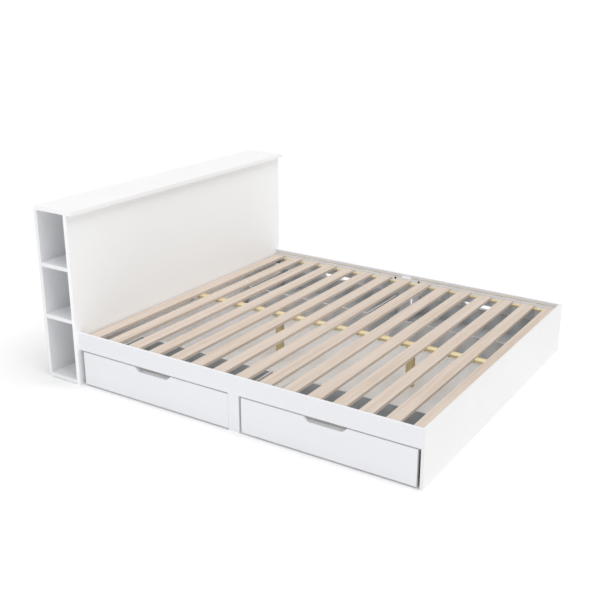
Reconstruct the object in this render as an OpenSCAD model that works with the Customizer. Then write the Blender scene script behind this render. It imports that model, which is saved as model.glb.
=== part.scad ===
// Platform bed with a bookcase headboard and storage drawers that roll out of both sides.
// Millimetres. X is the width, +Y runs from the foot towards the headboard, and Z is up.
// The origin is on the floor, under the middle of the whole bed.
// Left is the -X side, as seen by someone who stands at the foot and faces the headboard.

/* [Bed base] */
// Width over the two side panels
base_w = 1860; // [1700:10:2060]
// Length from the foot panel's outer face to the headboard's front face
base_len = 2063; // [2000:1:2140]
// Height of the side panels and the foot panel
base_h = 300; // [292:1:330]
// Thickness of the side panels, the foot panel and the drawer fronts
board_t = 16; // [15:0.5:19]
// Thickness of the inner boards and the drawer boxes
thin_t = 12; // [9:0.5:15]

/* [Headboard] */
// Height of the headboard
head_h = 972; // [860:1:1100]
// Depth of the headboard's body, front face to back face
head_d = 234; // [190:1:300]
// Thickness of the headboard's boards
head_t = 22; // [18:0.5:25]
// Reach of the headboard past each side panel
head_side_reach = 18; // [10:0.5:60]
// Reach of the top board in front of the headboard's front face
top_reach = 35; // [10:1:50]
// Depth of the side niches, measured in from the end of the headboard
niche_d = 352; // [200:1:450]
// Height of the lower shelf's underside
lower_shelf_z = 350; // [300:1:400]
// Height of the upper shelf's underside
upper_shelf_z = 642; // [560:1:700]
// Gap between the bottom board and the floor
bottom_gap = 3; // [0:0.5:8]

/* [Side panels] */
// Height of the rail above the drawers
rail_h = 97; // [92:1:108]
// Width of the middle post between the drawers
post_w = 65; // [50:1:80]
// Distance from the foot panel's outer face to the middle post
post_from_foot = 1004; // [970:1:1030]
// Depth of the inner boards' top edge below the rail's top edge
inner_board_drop = 18; // [14:1:20]
// Gap between the ends of the inner boards and the end panels
inner_board_gap = 8; // [4:1:12]

/* [Slats] */
// Number of slats
slat_count = 15; // [11:1:15]
// Width of one slat
slat_w = 74; // [50:1:80]
// Thickness of one slat
slat_t = 16; // [14:1:20]
// Depth of the slats' top faces below the rail's top edge
slat_drop = 30; // [26:1:32]
// Gap between each slat end and the inner board
slat_end_gap = 3; // [0.5:0.5:6]
// Gap between the first slat and the headboard
slat_head_gap = 8.5; // [0.5:0.5:20]
// Gap between the last slat and the foot panel
slat_foot_gap = 0.5; // [0.5:0.5:20]
// Width of the ledge under the slat ends
ledge_w = 20; // [20:1:30]
// Width of the centre beam
beam_w = 45; // [35:1:60]
// Width of each centre leg, along the beam
leg_w = 46; // [40:1:80]

/* [Drawers] */
// Depth of a drawer from the side panel's outer face to the back of its box
drawer_d = 420; // [340:5:460]
// Gap between a drawer front and the floor
front_floor_gap = 9; // [6:1:14]
// Gap between a drawer front and the rail above it
front_top_gap = 7; // [4:1:10]
// Gap between the head drawer's front and the headboard
head_gap = 27; // [6:0.5:30]
// Gap between the head drawer's front and the middle post
head_post_gap = 1; // [1:0.5:6]
// Gap between the foot drawer's front and the middle post
foot_post_gap = 13.5; // [2:0.5:16]
// Gap between the foot drawer's front and the foot panel
foot_gap = 16; // [2:0.5:20]
// Height of the side and back walls' top edges above the floor
wall_top_z = 150; // [110:1:155]
// Distance from each end of a drawer front to the side wall behind it
wall_inset = 25; // [10:1:40]
// Distance from the foot drawer's end at the middle post to the side wall behind it
post_wall_inset = 48; // [15:1:80]

/* [Handle cut-outs] */
// Width of the cut-out at the top edge of a drawer front
grip_top_w = 239; // [195:1:300]
// Width of the cut-out at its lower edge
grip_low_w = 184; // [120:1:190]
// Depth of the cut-out
grip_depth = 24; // [15:1:24]
// Radius of the cut-out's lower corners
grip_r = 7; // [4:1:16]

/* [Castors] */
// Radius of a castor wheel
wheel_r = 16; // [12:1:16]
// Width of a castor wheel
wheel_w = 14; // [10:1:16]
// Height from the floor to the underside of the drawer's bottom panel
castor_h = 40; // [38:1:44]
// Distance from the front and back of a drawer box to its castors' axles
castor_inset = 60; // [40:1:90]

/* [Hidden] */
SIDES = ["left", "right"];
BAYS = ["head", "foot"];
SLATS = [for (i = [1:slat_count]) i];

$fn = 64;
white = "#eef0f5";
white_front = "#f6f6f6";
slat_wood = "#dfd0c2";
pine = "#e3d3ac";
steel = "#9a9da2";
black = "#303033";
wheel_grey = "#e6e6e8";

// Whole bed
total_len = base_len + head_d;
foot_y = -total_len / 2;
head_y = foot_y + base_len;
back_y = foot_y + total_len;
foot_in_y = foot_y + board_t;
side_x = base_w / 2;
side_in_x = side_x - board_t;
inner_x = side_in_x - thin_t;
head_x = side_x + head_side_reach;
bottom_top_z = bottom_gap + head_t;

// Side panels
rail_z = base_h - rail_h;
post_y0 = foot_y + post_from_foot;
post_y1 = post_y0 + post_w;
inner_top_z = base_h - inner_board_drop;

// Slats and what carries them
slat_top_z = base_h - slat_drop;
slat_z = slat_top_z - slat_t;
slat_len = 2 * (inner_x - slat_end_gap);
slat_first_y = head_y - slat_head_gap - slat_w / 2;
slat_last_y = foot_in_y + slat_foot_gap + slat_w / 2;
slat_pitch = (slat_first_y - slat_last_y) / (slat_count - 1);
ledge_h = 12;
beam_h = 16;
beam_z = slat_z - beam_h;
leg_t = 20;
leg_positions = [0.261, 0.68];

// Drawer fronts and boxes
front_top_z = rail_z - front_top_gap;
grip_z = front_top_z - grip_depth;
grip_steps = 8;
box_x0 = side_x - drawer_d;
box_x1 = side_in_x;
joint_gap = 0.2;
floor_inset = thin_t + joint_gap;

// Castors
axle_r = 3;
axle_clearance = 0.05;
rivet_clearance = 0.02;
cheek_t = 2;
cheek_gap = 1;
cheek_r = 8;
plate_t = 2;
plate_l = 44;
castor_side_inset = 30;
rivet_head_r = 4.5;
rivet_head_t = 1;
tread_round = 2;

// Cam locks in the inner boards, on both sides of the middle post
cam_r = 7.5;
cam_fit = 0.1;
cam_hole_depth = 11;
cam_t = 5;
cam_foot_inset = 62;
cam_head_inset = 43;
cam_z = slat_top_z - 1;

// Angle brackets and screws
bracket_l = 40;
bracket_w = 26;
bracket_t = 2;
screw_r = 1.9;
screw_hole_r = 2;
screw_head_r = 4;
screw_head_h = 2;
short_screw = 14;
long_screw = 30;
bracket_screw_place = 28;
cut_over = 5;
ledge_screw_count = 6;

function slat_name(i) = str("slat_", i < 10 ? "0" : "", i);
function drawer_name(s, b, what) = str("drawer_", s, "_", b, "_", what);
function slat_y(i) = slat_first_y - (i - 1) * slat_pitch;
function front_y0(b) = b == "head" ? post_y1 + head_post_gap : foot_in_y + foot_gap;
function front_y1(b) = b == "head" ? head_y - head_gap : post_y0 - foot_post_gap;
function box_y0(b) = front_y0(b) + wall_inset;
function box_y1(b) = front_y1(b) - (b == "head" ? wall_inset : post_wall_inset);
function castor_ys(b) = [box_y0(b) + castor_side_inset, box_y1(b) - castor_side_inset];
function outer_axle_x() = box_x1 - castor_inset;
function inner_axle_x() = box_x0 + castor_inset;
function cam_ys() = [post_y0 - cam_foot_inset, post_y1 + cam_head_inset];
function ledge_screw_y(i) = foot_in_y + (i + 0.5) * (head_y - foot_in_y) / ledge_screw_count;
function bracket_z() = (rail_z + slat_z - ledge_h) / 2;

// A box from its lowest corner to its highest corner
module board(low, high) {
    translate(low)
        cube(high - low);
}

// What is drawn for the right side is mirrored for the left side
module on_side(s) {
    if (s == "left")
        mirror([1, 0, 0]) children();
    else
        children();
}

module both_sides() {
    for (s = SIDES)
        on_side(s) children();
}

// ---- Headboard ----

module headboard_front() {
    color(white_front)
        difference() {
            board([-head_x, head_y, 0], [head_x, head_y + head_t, head_h - head_t]);
            end_panel_holes();
        }
}

module headboard_back() {
    color(white)
        board([-head_x, back_y - head_t, 0], [head_x, back_y, head_h - head_t]);
}

module headboard_top() {
    color(white_front)
        board([-head_x, head_y - top_reach, head_h - head_t], [head_x, back_y, head_h]);
}

module headboard_bottom() {
    color(white)
        board([-head_x, head_y + head_t, bottom_gap], [head_x, back_y - head_t, bottom_top_z]);
}

module headboard_shelves() {
    color(white)
        both_sides()
            for (z = [lower_shelf_z, upper_shelf_z])
                board([head_x - niche_d, head_y + head_t, z], [head_x, back_y - head_t, z + head_t]);
}

module headboard_partitions() {
    color(white)
        both_sides()
            board(
                [head_x - niche_d - head_t, head_y + head_t, bottom_top_z],
                [head_x - niche_d, back_y - head_t, head_h - head_t]
            );
}

// ---- Side panels and foot panel ----

module foot_panel() {
    color(white_front)
        difference() {
            board([-side_x, foot_y, 0], [side_x, foot_in_y, base_h]);
            end_panel_holes();
        }
}

// The rail over the head drawer, in one piece with the middle post
module side_panel_head(s) {
    color(white)
        on_side(s) {
            board([side_in_x, post_y0, rail_z], [side_x, head_y, base_h]);
            board([side_in_x, post_y0, 0], [side_x, post_y1, base_h]);
        }
}

module side_panel_foot(s) {
    color(white)
        on_side(s)
            board([side_in_x, foot_in_y, rail_z], [side_x, post_y0, base_h]);
}

// Boards behind the rail, one for each half, with the cam locks' holes
module inner_boards(s) {
    color(white)
        on_side(s)
            difference() {
                for (span = [[foot_in_y + inner_board_gap, post_y0], [post_y1, head_y - inner_board_gap]])
                    board([inner_x, span[0], rail_z], [side_in_x, span[1], inner_top_z]);
                for (y = cam_ys())
                    translate([inner_x - 1, y, cam_z])
                        rotate([0, 90, 0])
                            cylinder(r = cam_r, h = cam_hole_depth + 1);
                side_screw_holes();
            }
}

// Short legs behind the middle posts
module mid_legs() {
    color(white)
        both_sides()
            board([inner_x, post_y0, 0], [side_in_x, post_y1, inner_top_z]);
}

// ---- Slats and their supports ----

module slat_ledges() {
    color(pine)
        both_sides()
            difference() {
                board([inner_x - ledge_w, foot_in_y, slat_z - ledge_h], [inner_x, head_y, slat_z]);
                side_screw_holes();
            }
}

module centre_beam() {
    color(pine)
        difference() {
            board([-beam_w / 2, foot_in_y, beam_z], [beam_w / 2, head_y, slat_z]);
            beam_screw_holes();
        }
}

module centre_legs() {
    color(pine)
        for (p = leg_positions) {
            y = foot_y + p * base_len;
            board([-leg_t / 2, y - leg_w / 2, 0], [leg_t / 2, y + leg_w / 2, beam_z]);
        }
}

module slat(i) {
    color(slat_wood)
        board([-slat_len / 2, slat_y(i) - slat_w / 2, slat_z], [slat_len / 2, slat_y(i) + slat_w / 2, slat_top_z]);
}

// ---- Drawers ----

// One lower corner of the handle cut-out on the +X side: an arc between the floor and the slanted side
function grip_arc() =
    let (
        slope = atan2(grip_depth, (grip_top_w - grip_low_w) / 2),
        centre = [grip_low_w / 2 - grip_r * tan(slope / 2), grip_r - grip_depth]
    )
    [for (i = [0:grip_steps]) centre + grip_r * [sin(slope * i / grip_steps), -cos(slope * i / grip_steps)]];

// Outline of the handle cut-out, seen from the side of the bed: wide above, narrower below
module grip_outline() {
    arc = grip_arc();
    right = concat(arc, [[grip_top_w / 2, 0], [grip_top_w / 2, cut_over]]);
    left = [for (i = [len(right) - 1:-1:0]) [-right[i][0], right[i][1]]];
    polygon(concat(right, left));
}

module drawer_front(s, b) {
    middle = (front_y0(b) + front_y1(b)) / 2;
    color(white)
        on_side(s)
            difference() {
                board([side_in_x, front_y0(b), front_floor_gap], [side_x, front_y1(b), front_top_z]);
                translate([side_in_x - 1, middle, front_top_z])
                    rotate([90, 0, 90])
                        linear_extrude(board_t + 2)
                            grip_outline();
            }
}

// Box front, box back and two side walls, which reach down past the bottom panel
module drawer_walls(s, b) {
    z0 = front_floor_gap;
    color(white)
        on_side(s) {
            board([box_x1 - thin_t, box_y0(b), z0], [box_x1, box_y1(b), grip_z]);
            board([box_x0, box_y0(b), z0], [box_x0 + thin_t, box_y1(b), wall_top_z]);
            for (y = [box_y0(b), box_y1(b) - thin_t])
                board(
                    [box_x0 + thin_t + joint_gap, y, z0],
                    [box_x1 - thin_t - joint_gap, y + thin_t, wall_top_z]
                );
        }
}

module drawer_bottom(s, b) {
    color(white)
        on_side(s)
            board(
                [box_x0 + floor_inset, box_y0(b) + floor_inset, castor_h],
                [box_x1 - floor_inset, box_y1(b) - floor_inset, castor_h + thin_t]
            );
}

// ---- Castors ----

// One fixed castor's bracket, with its plate against the drawer's underside, centred on the axle
module castor_bracket() {
    half = wheel_w / 2 + cheek_gap;
    translate([-plate_l / 2, -half - cheek_t, castor_h - plate_t])
        cube([plate_l, 2 * (half + cheek_t), plate_t]);
    for (y = [-half - cheek_t, half])
        translate([0, y + cheek_t, wheel_r])
            rotate([90, 0, 0])
                linear_extrude(cheek_t)
                    difference() {
                        union() {
                            circle(r = cheek_r);
                            translate([-cheek_r, 0])
                                square([2 * cheek_r, castor_h - plate_t - wheel_r]);
                        }
                        circle(r = axle_r + rivet_clearance);
                    }
}

module castor_axle() {
    half = wheel_w / 2 + cheek_gap + cheek_t + rivet_clearance;
    translate([0, 0, wheel_r])
        rotate([90, 0, 0]) {
            cylinder(r = axle_r, h = 2 * half, center = true);
            for (y = [-half - rivet_head_t, half])
                translate([0, 0, y])
                    cylinder(r = rivet_head_r, h = rivet_head_t);
        }
}

module castor_wheel() {
    translate([0, 0, wheel_r])
        rotate([90, 0, 0])
            rotate_extrude()
                polygon([
                    [axle_r + axle_clearance, -wheel_w / 2],
                    [wheel_r - tread_round, -wheel_w / 2],
                    [wheel_r, -wheel_w / 2 + tread_round],
                    [wheel_r, wheel_w / 2 - tread_round],
                    [wheel_r - tread_round, wheel_w / 2],
                    [axle_r + axle_clearance, wheel_w / 2]
                ]);
}

module drawer_castors(s, b) {
    on_side(s)
        for (x = [outer_axle_x(), inner_axle_x()], y = castor_ys(b))
            translate([x, y, 0]) {
                color(black)
                    castor_bracket();
                color(steel)
                    castor_axle();
            }
}

module drawer_wheels(s, b, x) {
    color(wheel_grey)
        on_side(s)
            for (y = castor_ys(b))
                translate([x, y, 0])
                    castor_wheel();
}

// ---- Fasteners ----

// One turn-lock disc with its cross slot, lying along +X from its back face
module cam_lock() {
    slot_w = 2;
    slot_depth = 2;
    difference() {
        cylinder(r = cam_r - cam_fit, h = cam_t);
        for (a = [0, 90])
            rotate([0, 0, a])
                translate([-cam_r / 2, -slot_w / 2, cam_t - slot_depth])
                    cube([cam_r, slot_w, slot_depth + 1]);
    }
}

module cam_locks() {
    color(steel)
        both_sides()
            for (y = cam_ys())
                translate([inner_x + cam_hole_depth, y, cam_z])
                    rotate([0, -90, 0])
                        cam_lock();
}

// An angle bracket with one leg along +X and one leg along +Y, as wide as it is tall
module bracket() {
    difference() {
        union() {
            translate([0, 0, -bracket_w / 2])
                cube([bracket_l, bracket_t, bracket_w]);
            translate([0, 0, -bracket_w / 2])
                cube([bracket_t, bracket_l, bracket_w]);
        }
        bracket_screw_axes() translate([0, 0, -bracket_t - 1])
            cylinder(r = screw_hole_r, h = bracket_t + 2);
    }
}

// Draws its children at each of a bracket's two screws, with +Z along the screw into the board
module bracket_screw_axes() {
    translate([bracket_screw_place, 0, 0])
        rotate([90, 0, 0])
            children();
    translate([0, bracket_screw_place, 0])
        rotate([0, -90, 0])
            children();
}

// A pan-head screw whose tip points along +Z and whose head rests at z = seat
module screw(seat, length) {
    translate([0, 0, seat])
        cylinder(r = screw_r, h = length);
    translate([0, 0, seat - screw_head_h])
        cylinder(r = screw_head_r, h = screw_head_h);
}

// Draws its children at each corner bracket of the right side
module corner_places() {
    translate([inner_x, foot_in_y, bracket_z()])
        mirror([1, 0, 0])
            children();
    translate([inner_x, head_y, bracket_z()])
        mirror([1, 0, 0])
            mirror([0, 1, 0])
                children();
}

// Draws its children at the two brackets under the ends of the centre beam
module beam_places() {
    translate([0, foot_in_y, beam_z])
        rotate([0, 90, 0])
            children();
    translate([0, head_y, beam_z])
        mirror([0, 1, 0])
            rotate([0, 90, 0])
                children();
}

// Pilot holes for one bracket's two screws
module bracket_holes() {
    bracket_screw_axes()
        translate([0, 0, -1])
            cylinder(r = screw_hole_r, h = short_screw + 1);
}

// Holes of every bracket's screws; each end panel takes those that reach into it
module end_panel_holes() {
    both_sides() corner_places() bracket_holes();
    beam_places() bracket_holes();
}

module beam_screw_holes() {
    beam_places() bracket_holes();
}

// Holes of the ledge's screws and of the corner brackets, on the right side
module side_screw_holes() {
    for (i = [0:ledge_screw_count - 1])
        translate([inner_x - ledge_w - 1, ledge_screw_y(i), slat_z - ledge_h / 2])
            rotate([0, 90, 0])
                cylinder(r = screw_hole_r, h = long_screw + 1.5);
    corner_places() bracket_holes();
}

module brackets() {
    color(steel) {
        both_sides() corner_places() bracket();
        beam_places() bracket();
    }
}

module bracket_screws() {
    color(steel) {
        both_sides() corner_places() bracket_screw_axes() screw(-bracket_t, thin_t);
        beam_places() bracket_screw_axes() screw(-bracket_t, thin_t);
    }
}

module ledge_screws() {
    color(steel)
        both_sides()
            for (i = [0:ledge_screw_count - 1])
                translate([inner_x - ledge_w, ledge_screw_y(i), slat_z - ledge_h / 2])
                    rotate([0, 90, 0])
                        screw(0, long_screw);
}

headboard_front();
headboard_back();
headboard_top();
headboard_bottom();
headboard_shelves();
headboard_partitions();
foot_panel();
mid_legs();
slat_ledges();
centre_beam();
centre_legs();
cam_locks();
brackets();
bracket_screws();
ledge_screws();

for (i = SLATS)
    slat(i);

for (s = SIDES) {
    side_panel_head(s);
    side_panel_foot(s);
    inner_boards(s);
}

for (s = SIDES, b = BAYS) {
    drawer_front(s, b);
    drawer_walls(s, b);
    drawer_bottom(s, b);
    drawer_castors(s, b);
    drawer_wheels(s, b, outer_axle_x());
    drawer_wheels(s, b, inner_axle_x());
}
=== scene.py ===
import math

import bpy
from mathutils import Matrix, Vector


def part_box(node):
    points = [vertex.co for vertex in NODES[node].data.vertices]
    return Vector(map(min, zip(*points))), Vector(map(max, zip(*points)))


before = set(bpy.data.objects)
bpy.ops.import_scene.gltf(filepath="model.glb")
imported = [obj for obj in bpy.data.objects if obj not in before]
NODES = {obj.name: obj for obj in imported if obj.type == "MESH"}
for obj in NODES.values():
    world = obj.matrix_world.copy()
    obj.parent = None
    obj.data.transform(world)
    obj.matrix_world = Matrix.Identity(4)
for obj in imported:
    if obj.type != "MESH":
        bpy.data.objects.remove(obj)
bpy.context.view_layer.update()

# ---- What the frame says ----

LINER_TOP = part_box("inner_boards_left")[1][2]
CAM_LOW, CAM_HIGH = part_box("cam_locks")
CAM_RADIUS = (CAM_HIGH[2] - CAM_LOW[2]) / 2
CAM_CENTRES = [(y, CAM_LOW[2] + CAM_RADIUS) for y in (CAM_LOW[1] + CAM_RADIUS, CAM_HIGH[1] - CAM_RADIUS)]

# ---- Chosen sizes in metres, angles in degrees ----

RIM_RADIUS = CAM_RADIUS + 0.002
RIM_FADE = 0.0003
# Radii over which the painted shade ring round each cam lock fades.
SHADE_RING_OUT = CAM_RADIUS + 0.0005
SHADE_RING_IN = CAM_RADIUS + 0.0002
# Heights over which the liner's top face turns speckled beige.
BEIGE_TOP_START = LINER_TOP - 0.0004
BEIGE_TOP_FULL = LINER_TOP - 0.0002
WOOD_EDGE = 0.0015
BOARD_EDGE = 0.0007
EDGE_ANGLE = 40
FLOOR_SIZE = 500
WORLD_STRENGTH = 0.62
CAMERA_PLACE = (-4.146, -2.630, 2.181)
CAMERA_HEADING = 29.155
CAMERA_PITCH = 19.089
CAMERA_ROLL = 1.309


# ---- Node-tree helpers ----

def new_material(name):
    """A material with its node tree and its main shader, already linked to the output."""
    material = bpy.data.materials.new(name)
    material.use_nodes = True
    tree = material.node_tree
    tree.nodes.clear()
    shader = tree.nodes.new("ShaderNodeBsdfPrincipled")
    output = tree.nodes.new("ShaderNodeOutputMaterial")
    tree.links.new(shader.outputs["BSDF"], output.inputs["Surface"])
    return material, tree, shader


def add(tree, kind, **values):
    """A node, with its sockets' values set by name."""
    node = tree.nodes.new(kind)
    for key, value in values.items():
        node.inputs[key].default_value = value
    return node


def position(tree, scale=(1, 1, 1)):
    """Object coordinates, scaled: they are the frame's metres, because every object sits at the origin."""
    coordinates = tree.nodes.new("ShaderNodeTexCoord")
    mapping = tree.nodes.new("ShaderNodeMapping")
    mapping.inputs["Scale"].default_value = scale
    tree.links.new(coordinates.outputs["Object"], mapping.inputs["Vector"])
    return mapping.outputs["Vector"]


def noise(tree, vector, scale, detail=3.0, roughness=0.5):
    """A noise texture's value, from 0 to 1."""
    node = add(tree, "ShaderNodeTexNoise", Scale=scale, Detail=detail, Roughness=roughness)
    tree.links.new(vector, node.inputs["Vector"])
    return node.outputs["Fac"]


def ramp(tree, value, stops):
    """A colour ramp over (place, colour) stops."""
    node = tree.nodes.new("ShaderNodeValToRGB")
    elements = node.color_ramp.elements
    while len(elements) < len(stops):
        elements.new(0.5)
    for element, (place, colour) in zip(elements, stops):
        element.position = place
        element.color = (*colour, 1)
    tree.links.new(value, node.inputs["Fac"])
    return node.outputs["Color"]


def span(tree, value, low, high, out_low=0.0, out_high=1.0):
    """The value mapped from one range to another, and clamped."""
    node = tree.nodes.new("ShaderNodeMapRange")
    tree.links.new(value, node.inputs["Value"])
    for name, number in zip(("From Min", "From Max", "To Min", "To Max"), (low, high, out_low, out_high)):
        node.inputs[name].default_value = number
    return node.outputs["Result"]


def math_node(tree, operation, *inputs):
    """A sum, product or the like; each input may be a socket or a plain number."""
    node = tree.nodes.new("ShaderNodeMath")
    node.operation = operation
    for socket, value in zip(node.inputs, inputs):
        if isinstance(value, (int, float)):
            socket.default_value = value
        else:
            tree.links.new(value, socket)
    return node.outputs["Value"]


def blend(tree, factor, first, second):
    """Two colours mixed by a socket; each colour may be a socket or a plain colour."""
    node = tree.nodes.new("ShaderNodeMix")
    node.data_type = "RGBA"
    tree.links.new(factor, node.inputs["Factor"])
    for socket, value in ((node.inputs[6], first), (node.inputs[7], second)):
        if isinstance(value, tuple):
            socket.default_value = (*value, 1)
        else:
            tree.links.new(value, socket)
    return node.outputs[2]


def bump(tree, shader, height, strength, distance):
    """A height linked to the shader's normal."""
    node = add(tree, "ShaderNodeBump", Strength=strength, Distance=distance)
    tree.links.new(height, node.inputs["Height"])
    tree.links.new(node.outputs["Normal"], shader.inputs["Normal"])


def part_of(tree, vector, axis):
    """One coordinate of a vector."""
    parts = tree.nodes.new("ShaderNodeSeparateXYZ")
    tree.links.new(vector, parts.inputs["Vector"])
    return parts.outputs["XYZ".index(axis)]


def facing(tree, axis):
    """How squarely the surface faces along an axis, either way, from 0 to 1."""
    geometry = tree.nodes.new("ShaderNodeNewGeometry")
    return math_node(tree, "ABSOLUTE", part_of(tree, geometry.outputs["True Normal"], axis))


def away_from(tree, centre):
    """Distance in metres from a line along X through a (y, z) centre."""
    place = position(tree)
    steps = []
    for axis, value in zip("YZ", centre):
        steps.append(math_node(tree, "SUBTRACT", part_of(tree, place, axis), value))
    squares = [math_node(tree, "MULTIPLY", step, step) for step in steps]
    return math_node(tree, "SQRT", math_node(tree, "ADD", *squares))


# ---- Materials ----

def srgb(code):
    """A hex colour as linear numbers."""
    parts = [int(code[i:i + 2], 16) / 255 for i in (0, 2, 4)]
    return tuple(p / 12.92 if p <= 0.04045 else ((p + 0.055) / 1.055) ** 2.4 for p in parts)


def shade(colour, factor):
    """The colour made darker, or lighter up to full."""
    return tuple(min(1, c * factor) for c in colour)


def cloudy(tree, place, colour, scale, detail, darkest):
    """The colour with soft darker clouds."""
    return ramp(tree, noise(tree, place, scale, detail), [(0.3, shade(colour, darkest)), (0.7, colour)])


def vary_roughness(tree, shader, value, low, high):
    """Roughness that follows a noise value between two limits."""
    tree.links.new(span(tree, value, 0.3, 0.7, low, high), shader.inputs["Roughness"])


def speckled_beige(tree):
    """A speckled beige, darker and warmer than the white facing."""
    place = position(tree)
    flakes = noise(tree, place, 420, 3, 0.7)
    return ramp(tree, flakes, [(0.34, srgb("8f7c5e")), (0.5, srgb("b9a888")), (0.66, srgb("cfc2a6"))])


def melamine(name, colour, dress=None):
    """Facing on chipboard: a faint orange-peel, and faint cloudiness in its colour and gloss."""
    material, tree, shader = new_material(name)
    place = position(tree)
    plain = cloudy(tree, place, colour, 2.5, 4, 0.98)
    tree.links.new(dress(tree, plain) if dress else plain, shader.inputs["Base Color"])
    vary_roughness(tree, shader, noise(tree, place, 9, 5), 0.34, 0.46)
    shader.inputs["Specular IOR Level"].default_value = 0.35
    bump(tree, shader, noise(tree, place, 900, 2), 0.06, 0.0004)
    return material


def wood(name, base, dark, along):
    """Planed wood with straight grain along one axis, and darker end grain."""
    material, tree, shader = new_material(name)
    stretch = [60.0, 60.0, 60.0]
    stretch["XYZ".index(along)] = 1.6
    vector = position(tree, tuple(stretch))
    wide = noise(tree, vector, 0.7, 6, 0.6)
    fine = noise(tree, vector, 6.0, 5, 0.65)
    pores_stretch = [420.0, 420.0, 420.0]
    pores_stretch["XYZ".index(along)] = 14.0
    pores = noise(tree, position(tree, tuple(pores_stretch)), 1.0, 2, 0.5)
    wide_part = math_node(tree, "MULTIPLY", wide, 0.6)
    fine_part = math_node(tree, "MULTIPLY", fine, 0.4)
    streak = math_node(tree, "ADD", wide_part, fine_part)
    colour = ramp(tree, streak, [(0.36, dark), (0.52, base), (0.68, shade(base, 1.07))])
    pored = blend(tree, span(tree, pores, 0.60, 0.72, 0.0, 0.22), colour, shade(dark, 0.6))
    end = span(tree, facing(tree, along), 0.8, 0.95)
    ended = blend(tree, end, pored, shade(base, 0.62))
    tree.links.new(ended, shader.inputs["Base Color"])
    vary_roughness(tree, shader, fine, 0.5, 0.68)
    shader.inputs["Specular IOR Level"].default_value = 0.25
    bump(tree, shader, streak, 0.25, 0.0006)
    return material


def metal(name, colour, roughness):
    """Plated or painted metal, with fine unevenness."""
    material, tree, shader = new_material(name)
    place = position(tree)
    shader.inputs["Metallic"].default_value = 1.0
    tree.links.new(cloudy(tree, place, colour, 120, 3, 0.85), shader.inputs["Base Color"])
    vary_roughness(tree, shader, noise(tree, place, 300, 3), roughness * 0.8, roughness * 1.2)
    bump(tree, shader, noise(tree, place, 1500, 2), 0.1, 0.0001)
    return material


def moulded(name, colour, roughness):
    """Moulded plastic or satin paint, with a fine texture."""
    material, tree, shader = new_material(name)
    place = position(tree)
    tree.links.new(cloudy(tree, place, colour, 80, 3, 0.9), shader.inputs["Base Color"])
    vary_roughness(tree, shader, noise(tree, place, 400, 3), roughness * 0.85, roughness * 1.15)
    bump(tree, shader, noise(tree, place, 1800, 2), 0.15, 0.0002)
    return material


def painted_highlight_top_edges(tree, plain):
    """Grey faces with a painted highlight: the narrow top edges made near-white, as if light caught them."""
    return blend(tree, span(tree, facing(tree, "Z"), 0.6, 0.8), plain, srgb("fafafa"))


def liner_dress(tree, plain):
    """A liner board: speckled beige along its top edge, a pale rim round each cam lock, and painted shade in
    a thin dark ring at each cam lock's edge, for its bore.
    """
    height = span(tree, part_of(tree, position(tree), "Z"), BEIGE_TOP_START, BEIGE_TOP_FULL)
    top = math_node(tree, "MULTIPLY", height, span(tree, facing(tree, "Z"), 0.6, 0.8))
    colour = blend(tree, top, plain, speckled_beige(tree))
    for centre in CAM_CENTRES:
        away = away_from(tree, centre)
        rim = span(tree, away, RIM_RADIUS + RIM_FADE, RIM_RADIUS)
        # Painted shade: a thin dark ring just outside each cam lock, for the shadowed bore it sits in.
        shade_ring = span(tree, away, SHADE_RING_OUT, SHADE_RING_IN)
        colour = blend(tree, rim, colour, srgb("f7f4ec"))
        colour = blend(tree, shade_ring, colour, srgb("2c1c0c"))
    return colour


WHITE = melamine("white_board", srgb("fbfbfc"))
# Lit and shaded copies of the one white melamine: the headboard front's copy is a touch lighter and bluer, as
# painted light; the foot panel's, the niches' and the side panels' and drawer fronts' copies are darker, as
# painted shade, the side one a cool shade.
FRONT_WHITE_PAINTED_LIGHT = melamine("headboard_front_painted_light", srgb("fdfeff"))
FOOT_WHITE_PAINTED_SHADE = melamine("foot_board_painted_shade", srgb("eeeeee"))
NICHE_WHITE_PAINTED_SHADE = melamine("niche_board_painted_shade", srgb("f3f4f6"))
SIDE_WHITE_PAINTED_SHADE = melamine("side_board_painted_shade", srgb("eeeff3"))
# The drawer boxes' walls and floors are grey, partly as a plain grey inner finish and partly as painted shade
# for the dim space under the slats; the walls also carry painted highlights on their top edges.
DRAWER_BOARD_GREY_SHADE_HIGHLIGHT = melamine("drawer_board_grey_shade_highlight", srgb("cbced1"), painted_highlight_top_edges)
DRAWER_FLOOR_GREY_AND_SHADE = melamine("drawer_floor_grey_and_shade", srgb("cbced1"))
# The liner's white is darker and bluer than the other boards: a cool painted shade for the inside of the
# base.
LINER = melamine("liner_board_cool_shade", srgb("f1f3fa"), liner_dress)
SLAT_WOOD = wood("slat_wood", srgb("d8cabd"), srgb("cbb9a8"), "X")
PINE = wood("pine", srgb("e6d8b0"), srgb("d2bb88"), "Y")
PINE_LEG = wood("pine_leg", srgb("d9c79c"), srgb("bfa673"), "Z")
# Painted shade: the cam locks' metal is near-black brown, standing for the dim bores they sit in.
CAM_METAL_AND_SHADE = metal("cam_metal_and_shade", srgb("3a2c1e"), 0.5)
STEEL = metal("steel", srgb("a9acb1"), 0.32)
BLACK = moulded("castor_black", srgb("2a2a2d"), 0.45)
WHEEL = moulded("wheel_grey", srgb("e2e2e4"), 0.5)

# ---- Which node gets which material ----

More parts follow.
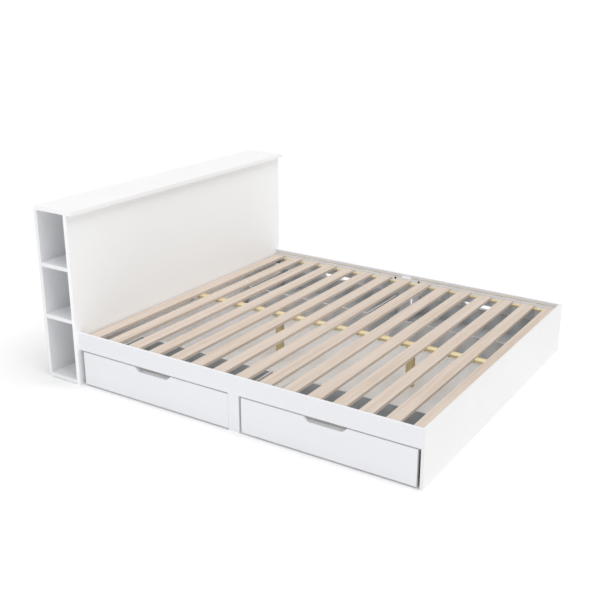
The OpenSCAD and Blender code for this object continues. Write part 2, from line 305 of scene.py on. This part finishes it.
def material_of(name):
    """The material of a CAD node, from its name."""
    if name in ("slat_ledges", "centre_beam"):
        return PINE
    if name.startswith("slat_"):
        return SLAT_WOOD
    if name == "centre_legs":
        return PINE_LEG
    if name == "cam_locks":
        return CAM_METAL_AND_SHADE
    if name in ("brackets", "bracket_screws", "ledge_screws"):
        return STEEL
    if name.endswith("castors"):
        return BLACK
    if "_wheels_" in name:
        return WHEEL
    if name.endswith("_walls"):
        return DRAWER_BOARD_GREY_SHADE_HIGHLIGHT
    if name.startswith("drawer") and name.endswith("_bottom"):
        return DRAWER_FLOOR_GREY_AND_SHADE
    if name.startswith("inner_boards"):
        return LINER
    if name == "headboard_front":
        return FRONT_WHITE_PAINTED_LIGHT
    if name == "foot_panel":
        return FOOT_WHITE_PAINTED_SHADE
    if name in ("headboard_back", "headboard_shelves", "headboard_partitions", "headboard_bottom"):
        return NICHE_WHITE_PAINTED_SHADE
    if name.startswith("side_panel") or name.endswith("_front") and name.startswith("drawer"):
        return SIDE_WHITE_PAINTED_SHADE
    return WHITE


def round_edges(node, width):
    """A small radius along a piece's edges."""
    bevel = node.modifiers.new("edges", "BEVEL")
    bevel.width = width
    bevel.segments = 2
    bevel.limit_method = "ANGLE"
    bevel.angle_limit = math.radians(EDGE_ANGLE)


for name, node in NODES.items():
    surface = material_of(name)
    node.data.materials.clear()
    node.data.materials.append(surface)
    if surface in (SLAT_WOOD, PINE, PINE_LEG):
        round_edges(node, WOOD_EDGE)
    elif surface in (WHITE, SIDE_WHITE_PAINTED_SHADE, DRAWER_BOARD_GREY_SHADE_HIGHLIGHT, DRAWER_FLOOR_GREY_AND_SHADE):
        round_edges(node, BOARD_EDGE)

# ---- Floor, light and camera ----

def floor_material():
    """Plain matt white, with almost invisible clouds."""
    material, tree, shader = new_material("floor")
    clouds = cloudy(tree, position(tree), srgb("ffffff"), 0.8, 2, 0.995)
    tree.links.new(clouds, shader.inputs["Base Color"])
    shader.inputs["Roughness"].default_value = 1.0
    shader.inputs["Specular IOR Level"].default_value = 0.0
    return material


bpy.ops.mesh.primitive_plane_add(size=FLOOR_SIZE, location=(0, 0, 0))
floor = bpy.context.object
floor.name = "floor"
floor.data.materials.append(floor_material())

world = bpy.data.worlds.new("studio")
bpy.context.scene.world = world
world.use_nodes = True
background = world.node_tree.nodes["Background"]
background.inputs["Color"].default_value = (1.0, 1.0, 1.0, 1)
background.inputs["Strength"].default_value = WORLD_STRENGTH


def softbox(name, towards, power, angle):
    """A distant soft light that shines from a direction, the same over the whole floor."""
    data = bpy.data.lights.new(name, "SUN")
    data.energy = power
    data.angle = math.radians(angle)
    light = bpy.data.objects.new(name, data)
    bpy.context.scene.collection.objects.link(light)
    light.rotation_euler = Vector(towards).to_track_quat("Z", "Y").to_euler()


softbox("front_softbox", (0.0, -0.40, 0.92), 1.38, 50)
softbox("left_softbox", (-0.92, 0.0, 0.42), 0.32, 6)

bpy.context.scene.view_settings.view_transform = "Standard"


def look_matrix(at, heading, pitch, roll):
    """A camera's matrix: heading turns from +X towards +Y, and pitch is downwards. Angles are in radians."""
    level = math.cos(pitch)
    forward = Vector((level * math.cos(heading), level * math.sin(heading), -math.sin(pitch)))
    right = forward.cross(Vector((0, 0, 1))).normalized()
    up = right.cross(forward)
    turned_right = math.cos(roll) * right + math.sin(roll) * up
    turned_up = -math.sin(roll) * right + math.cos(roll) * up
    columns = Matrix((turned_right, turned_up, -forward)).transposed().to_4x4()
    return Matrix.Translation(at) @ columns


camera_data = bpy.data.cameras.new("camera")
camera_data.sensor_width = 36
camera_data.lens = 55.0
camera_data.shift_x = -0.1092
camera_data.shift_y = -0.0260
camera = bpy.data.objects.new("camera", camera_data)
bpy.context.scene.collection.objects.link(camera)
turns = [math.radians(angle) for angle in (CAMERA_HEADING, CAMERA_PITCH, CAMERA_ROLL)]
camera.matrix_world = look_matrix(CAMERA_PLACE, *turns)
bpy.context.scene.camera = camera

bpy.context.view_layer.update()
